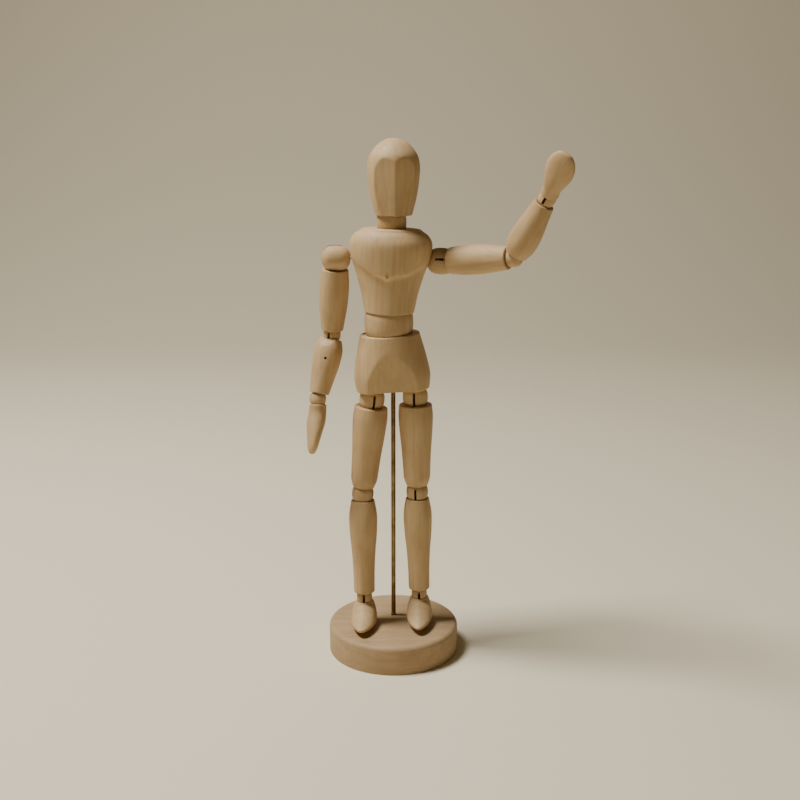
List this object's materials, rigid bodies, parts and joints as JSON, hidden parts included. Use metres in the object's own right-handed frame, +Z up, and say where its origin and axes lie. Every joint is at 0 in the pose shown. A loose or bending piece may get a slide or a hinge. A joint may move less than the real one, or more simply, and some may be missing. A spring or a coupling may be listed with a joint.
{
  "type": "artist drawing mannequin",
  "caption": "Jointed wooden lay figure on a round stand with a steel rod; slotted balls and hidden springs let head, trunk, arms and legs be posed for drawing.",
  "frame": {"origin": "centre of the stand's round underside, on the surface it stands on", "axes": "+Z up along the stand rod; the figure faces -Y and its left arm, the raised one, is toward +X"},
  "size_m": [0.1546, 0.1026, 0.3278],
  "materials": {
    "figure_wood": "matte, bare sanded",
    "base_wood": "matte, bare sanded",
    "rod_steel": "drawn wire",
    "wire_steel": "spring wire"
  },
  "bodies": {
    "stand": {"base": "base_wood", "stand_rod": "rod_steel"},
    "pelvis": {"pelvis": "figure_wood", "waist_hook": "wire_steel", "hip_hook_right": "wire_steel", "hip_hook_left": "wire_steel"},
    "waist_ball": {"waist_ball": "figure_wood"},
    "chest": {"chest": "figure_wood", "torso_spring": "wire_steel", "shoulder_spring": "wire_steel"},
    "neck": {"neck": "figure_wood"},
    "head": {"head": "figure_wood", "head_eye": "wire_steel"},
    "shoulder_ball_right": {"shoulder_ball_right": "figure_wood", "shoulder_hook_right": "wire_steel"},
    "upper_arm_right": {"upper_arm_right": "figure_wood", "upper_arm_spring_right": "wire_steel"},
    "elbow_ball_right": {"elbow_ball_right": "figure_wood"},
    "forearm_right": {"forearm_right": "figure_wood", "forearm_link_right": "wire_steel"},
    "wrist_ball_right": {"wrist_ball_right": "figure_wood"},
    "hand_right": {"hand_right": "figure_wood", "hand_eye_right": "wire_steel"},
    "hip_ball_right": {"hip_ball_right": "figure_wood"},
    "thigh_right": {"thigh_right": "figure_wood", "thigh_spring_right": "wire_steel"},
    "knee_ball_right": {"knee_ball_right": "figure_wood"},
    "shin_right": {"shin_right": "figure_wood", "shin_link_right": "wire_steel"},
    "ankle_ball_right": {"ankle_ball_right": "figure_wood"},
    "foot_right": {"foot_right": "figure_wood", "foot_eye_right": "wire_steel"},
    "shoulder_ball_left": {"shoulder_ball_left": "figure_wood", "shoulder_hook_left": "wire_steel"},
    "upper_arm_left": {"upper_arm_left": "figure_wood", "upper_arm_spring_left": "wire_steel"},
    "elbow_ball_left": {"elbow_ball_left": "figure_wood"},
    "forearm_left": {"forearm_left": "figure_wood", "forearm_link_left": "wire_steel"},
    "wrist_ball_left": {"wrist_ball_left": "figure_wood"},
    "hand_left": {"hand_left": "figure_wood", "hand_eye_left": "wire_steel"},
    "hip_ball_left": {"hip_ball_left": "figure_wood"},
    "thigh_left": {"thigh_left": "figure_wood", "thigh_spring_left": "wire_steel"},
    "knee_ball_left": {"knee_ball_left": "figure_wood"},
    "shin_left": {"shin_left": "figure_wood", "shin_link_left": "wire_steel"},
    "ankle_ball_left": {"ankle_ball_left": "figure_wood"},
    "foot_left": {"foot_left": "figure_wood", "foot_eye_left": "wire_steel"}
  },
  "joints": [
    {"name": "figure_turn", "type": "hinge", "parent": "stand", "child": "pelvis", "pos_m": [0, 0.008, 0.1747], "axis": [0, 0, 1], "range_deg": [-170, 170]},
    {"name": "waist_turn", "type": "hinge", "parent": "pelvis", "child": "waist_ball", "pos_m": [-0.00252, -0.001, 0.21713], "axis": [0.0279, 0, 0.9996], "range_deg": [-35, 35]},
    {"name": "waist_bend", "type": "hinge", "parent": "waist_ball", "child": "chest", "pos_m": [-0.00252, -0.001, 0.21713], "axis": [0.9996, 0, -0.0279], "range_deg": [-20, 20]},
    {"name": "neck_turn", "type": "hinge", "parent": "chest", "child": "neck", "pos_m": [-0.00081, -0.001, 0.2784], "axis": [0, 0, 1], "range_deg": [-45, 45]},
    {"name": "head_nod", "type": "hinge", "parent": "neck", "child": "head", "pos_m": [-0.00081, -0.001, 0.2784], "axis": [1, 0, 0], "range_deg": [-18, 18]},
    {"name": "shoulder_turn_right", "type": "hinge", "parent": "chest", "child": "shoulder_ball_right", "pos_m": [-0.03484, 0.0032, 0.25624], "axis": [0.9996, 0, -0.0279], "range_deg": [-150, 45]},
    {"name": "shoulder_bend_right", "type": "hinge", "parent": "shoulder_ball_right", "child": "upper_arm_right", "pos_m": [-0.03484, 0.0032, 0.25624], "axis": [-0.0039, -0.9903, -0.1391], "range_deg": [-80, 2]},
    {"name": "elbow_turn_right", "type": "hinge", "parent": "upper_arm_right", "child": "elbow_ball_right", "pos_m": [-0.03843, 0.01004, 0.20765], "axis": [0.073, -0.139, 0.9876], "range_deg": [-40, 40]},
    {"name": "elbow_bend_right", "type": "hinge", "parent": "elbow_ball_right", "child": "forearm_right", "pos_m": [-0.03843, 0.01004, 0.20765], "axis": [-0.9322, 0.3425, 0.1171], "range_deg": [-34, 40]},
    {"name": "wrist_turn_right", "type": "hinge", "parent": "forearm_right", "child": "wrist_ball_right", "pos_m": [-0.04712, -0.00022, 0.1685], "axis": [0.2098, 0.2478, 0.9458], "range_deg": [-40, 40]},
    {"name": "wrist_bend_right", "type": "hinge", "parent": "wrist_ball_right", "child": "hand_right", "pos_m": [-0.04712, -0.00022, 0.1685], "axis": [-0.2571, 0.9473, -0.1911], "range_deg": [-28, 40]},
    {"name": "hip_turn_right", "type": "hinge", "parent": "pelvis", "child": "hip_ball_right", "pos_m": [-0.01324, 0, 0.1683], "axis": [0.1011, 0, 0.9949], "range_deg": [-30, 20]},
    {"name": "hip_bend_right", "type": "hinge", "parent": "hip_ball_right", "child": "thigh_right", "pos_m": [-0.01324, 0, 0.1683], "axis": [0.9731, 0.2079, -0.0988], "range_deg": [-45, 30]},
    {"name": "knee_turn_right", "type": "hinge", "parent": "thigh_right", "child": "knee_ball_right", "pos_m": [-0.01956, 0, 0.10612], "axis": [0.1011, 0, 0.9949], "range_deg": [-25, 25]},
    {"name": "knee_bend_right", "type": "hinge", "parent": "knee_ball_right", "child": "shin_right", "pos_m": [-0.01956, 0, 0.10612], "axis": [0.3887, 0.9205, -0.0395], "range_deg": [-4, 50]},
    {"name": "ankle_turn_right", "type": "hinge", "parent": "shin_right", "child": "ankle_ball_right", "pos_m": [-0.01888, -0.00327, 0.0365], "axis": [-0.0097, 0.0469, 0.9989], "range_deg": [-25, 20]},
    {"name": "ankle_bend_right", "type": "hinge", "parent": "ankle_ball_right", "child": "foot_right", "pos_m": [-0.01888, -0.00327, 0.0365], "axis": [0.9977, -0.0671, 0.0128], "range_deg": [-6, 6]},
    {"name": "shoulder_turn_left", "type": "hinge", "parent": "chest", "child": "shoulder_ball_left", "pos_m": [0.02953, 0.0032, 0.25444], "axis": [-0.9996, 0, 0.0279], "range_deg": [-130, 60]},
    {"name": "shoulder_bend_left", "type": "hinge", "parent": "shoulder_ball_left", "child": "upper_arm_left", "pos_m": [0.02953, 0.0032, 0.25444], "axis": [-0.0272, -0.2317, -0.9724], "range_deg": [-30, 39]},
    {"name": "elbow_turn_left", "type": "hinge", "parent": "upper_arm_left", "child": "elbow_ball_left", "pos_m": [0.07114, -0.02259, 0.25943], "axis": [-0.8456, 0.5241, -0.1013], "range_deg": [-40, 40]},
    {"name": "elbow_bend_left", "type": "hinge", "parent": "elbow_ball_left", "child": "forearm_left", "pos_m": [0.07114, -0.02259, 0.25943], "axis": [-0.5154, -0.851, -0.1006], "range_deg": [-62, 10]},
    {"name": "wrist_turn_left", "type": "hinge", "parent": "forearm_left", "child": "wrist_ball_left", "pos_m": [0.08783, -0.03685, 0.29453], "axis": [-0.4033, 0.3444, -0.8478], "range_deg": [-40, 40]},
    {"name": "wrist_bend_left", "type": "hinge", "parent": "wrist_ball_left", "child": "hand_left", "pos_m": [0.08783, -0.03685, 0.29453], "axis": [0.7934, -0.33, -0.5114], "range_deg": [-55, 22]},
    {"name": "hip_turn_left", "type": "hinge", "parent": "pelvis", "child": "hip_ball_left", "pos_m": [0.01391, 0, 0.16992], "axis": [0.0227, 0, -0.9997], "range_deg": [-20, 25]},
    {"name": "hip_bend_left", "type": "hinge", "parent": "hip_ball_left", "child": "thigh_left", "pos_m": [0.01391, 0, 0.16992], "axis": [0.9923, -0.1219, 0.0225], "range_deg": [-45, 30]},
    {"name": "knee_turn_left", "type": "hinge", "parent": "thigh_left", "child": "knee_ball_left", "pos_m": [0.01533, 0, 0.10743], "axis": [0.0227, 0, -0.9997], "range_deg": [-25, 25]},
    {"name": "knee_bend_left", "type": "hinge", "parent": "knee_ball_left", "child": "shin_left", "pos_m": [0.01533, 0, 0.10743], "axis": [0.9797, -0.1994, 0.0222], "range_deg": [-5, 52]},
    {"name": "ankle_turn_left", "type": "hinge", "parent": "shin_left", "child": "ankle_ball_left", "pos_m": [0.01691, 0, 0.03775], "axis": [0.0227, 0, -0.9997], "range_deg": [-25, 20]},
    {"name": "ankle_bend_left", "type": "hinge", "parent": "ankle_ball_left", "child": "foot_left", "pos_m": [0.01691, 0, 0.03775], "axis": [0.9984, -0.0523, 0.0227], "range_deg": [-10, 8]}
  ]
}
